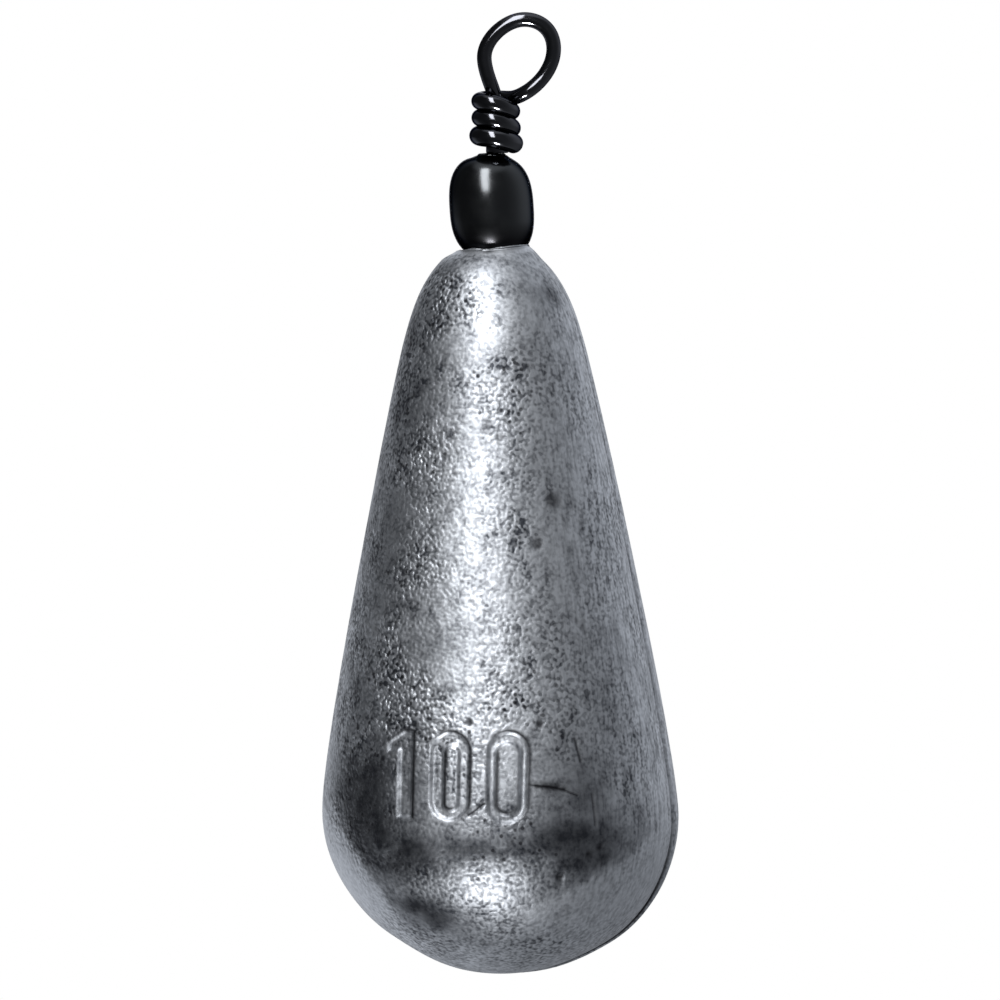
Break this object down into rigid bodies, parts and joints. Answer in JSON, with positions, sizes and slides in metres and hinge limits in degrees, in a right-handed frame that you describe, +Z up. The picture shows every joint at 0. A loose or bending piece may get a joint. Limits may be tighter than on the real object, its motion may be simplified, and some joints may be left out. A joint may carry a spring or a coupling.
{
  "type": "fishing sinker",
  "caption": "Pear-shaped cast lead fishing weight hung from a barrel swivel, whose upper wire eye spins freely to take the line without twist.",
  "frame": {"origin": "centre of the upper wire eye's round loop, where the line or clip is tied", "axes": "+Z up along the swivel's axis, away from the lead; -Y the side with the weight numerals; +X the side to which the loop stands"},
  "size_m": [0.0214, 0.0212, 0.0578],
  "materials": {
    "cast_lead": "as cast, dull silver grey with a dark patina",
    "black_nickel_barrel": "glossy black nickel plate",
    "black_nickel_wire": "glossy black nickel plate"
  },
  "bodies": {
    "eye": {"line_eye": "black_nickel_wire"},
    "sinker": {"lead_body": "cast_lead", "swivel_barrel": "black_nickel_barrel", "anchor_eye": "black_nickel_wire"}
  },
  "joints": [
    {"name": "swivel_spin", "type": "hinge", "parent": "eye", "child": "sinker", "pos_m": [-0.0016, 0, -0.00922], "axis": [0, 0, 1], "continuous": true}
  ]
}
